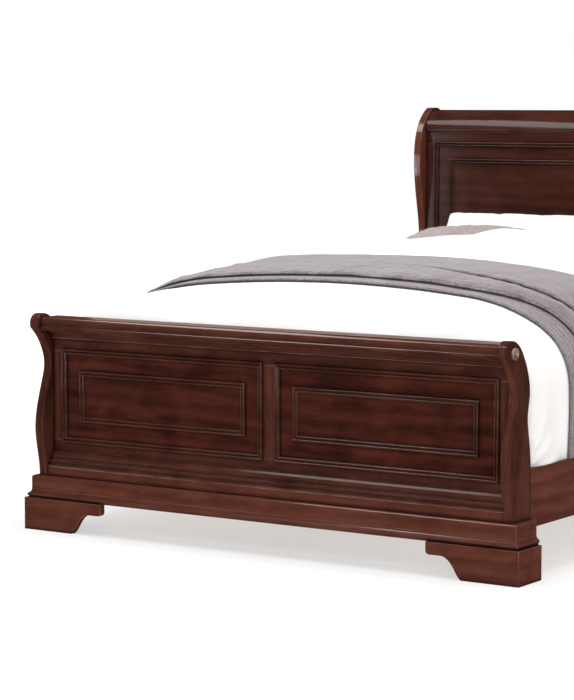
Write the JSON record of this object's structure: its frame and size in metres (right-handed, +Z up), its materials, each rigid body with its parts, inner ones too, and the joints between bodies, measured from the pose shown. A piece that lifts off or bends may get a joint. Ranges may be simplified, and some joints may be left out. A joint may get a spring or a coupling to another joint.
{
  "type": "sleigh bed",
  "caption": "Wooden sleigh bed with scrolled posts, panelled footboard on bracket feet, taller panelled headboard, side rails, slats, mattress, quilt, folded throw and pillows.",
  "frame": {"origin": "middle of the bed's footprint, on the floor", "axes": "+X across the bed, +Y from the footboard to the headboard, +Z up"},
  "size_m": [1.651, 2.3338, 1.229],
  "materials": {
    "cherry_lacquer": "dark red-brown stain under satin lacquer",
    "pine": "planed, unfinished",
    "zinc_steel": "zinc plated",
    "foundation_ticking": "woven ticking",
    "mattress_ticking": "knitted ticking",
    "white_cotton": "fine plain weave",
    "grey_knit": "soft napped weave",
    "taupe_linen": "linen weave",
    "cream_cotton": "fine plain weave"
  },
  "bodies": {
    "frame": {"bracket_foot_left": "cherry_lacquer", "bracket_foot_right": "cherry_lacquer", "centre_beam": "pine", "centre_legs": "pine", "foot_glue_blocks": "pine", "footboard_back": "cherry_lacquer", "footboard_base_moulding": "cherry_lacquer", "footboard_bottom_rail": "cherry_lacquer", "footboard_centre_stile": "cherry_lacquer", "footboard_crest_cove": "cherry_lacquer", "footboard_crest_rail": "cherry_lacquer", "footboard_inner_beading": "cherry_lacquer", "footboard_lower_board": "cherry_lacquer", "footboard_outer_beading": "cherry_lacquer", "footboard_panel_left": "cherry_lacquer", "footboard_panel_right": "cherry_lacquer", "footboard_plinth_front": "cherry_lacquer", "footboard_plinth_return_left": "cherry_lacquer", "footboard_plinth_return_right": "cherry_lacquer", "footboard_post_left": "cherry_lacquer", "footboard_post_right": "cherry_lacquer", "footboard_rosettes": "cherry_lacquer", "footboard_step_moulding": "cherry_lacquer", "footboard_stile_left": "cherry_lacquer", "footboard_stile_right": "cherry_lacquer", "footboard_top_rail": "cherry_lacquer", "headboard_bottom_rail": "cherry_lacquer", "headboard_centre_stile": "cherry_lacquer", "headboard_crest_cove": "cherry_lacquer", "headboard_crest_rail": "cherry_lacquer", "headboard_inner_beading": "cherry_lacquer", "headboard_lower_board": "cherry_lacquer", "headboard_outer_beading": "cherry_lacquer", "headboard_panel_left": "cherry_lacquer", "headboard_panel_right": "cherry_lacquer", "headboard_post_left": "cherry_lacquer", "headboard_post_right": "cherry_lacquer", "headboard_rosettes": "cherry_lacquer", "headboard_stile_left": "cherry_lacquer", "headboard_stile_right": "cherry_lacquer", "headboard_top_rail": "cherry_lacquer", "rail_hook_plates": "zinc_steel", "side_rail_left": "cherry_lacquer", "side_rail_right": "cherry_lacquer", "slat_cleat_left": "pine", "slat_cleat_right": "pine", "slat_screws": "zinc_steel", "slats": "pine"},
    "foundation": {"foundation": "foundation_ticking"},
    "mattress": {"mattress": "mattress_ticking"},
    "quilt": {"quilt": "white_cotton"},
    "throw": {"throw_blanket": "grey_knit"},
    "front_pillow_left": {"front_pillow_left": "taupe_linen"},
    "front_pillow_right": {"front_pillow_right": "taupe_linen"},
    "back_pillow_left": {"back_pillow_left": "cream_cotton"},
    "back_pillow_right": {"back_pillow_right": "cream_cotton"}
  },
  "joints": [
    {"name": "foundation_lift", "type": "slide", "parent": "frame", "child": "foundation", "axis": [0, 0, 1], "range_m": [0, 0.46]},
    {"name": "mattress_lift", "type": "slide", "parent": "foundation", "child": "mattress", "axis": [0, 0, 1], "range_m": [0, 0.25]},
    {"name": "quilt_lift", "type": "slide", "parent": "mattress", "child": "quilt", "axis": [0, 0, 1], "range_m": [0, 0.36]},
    {"name": "throw_lift", "type": "slide", "parent": "quilt", "child": "throw", "axis": [0, 0, 1], "range_m": [0, 0.37]},
    {"name": "front_pillow_left_lift", "type": "slide", "parent": "mattress", "child": "front_pillow_left", "axis": [0, 0, 1], "range_m": [0, 0.3]},
    {"name": "front_pillow_right_lift", "type": "slide", "parent": "mattress", "child": "front_pillow_right", "axis": [0, 0, 1], "range_m": [0, 0.3]},
    {"name": "back_pillow_left_lift", "type": "slide", "parent": "mattress", "child": "back_pillow_left", "axis": [0, 0, 1], "range_m": [0, 0.3]},
    {"name": "back_pillow_right_lift", "type": "slide", "parent": "mattress", "child": "back_pillow_right", "axis": [0, 0, 1], "range_m": [0, 0.3]}
  ]
}
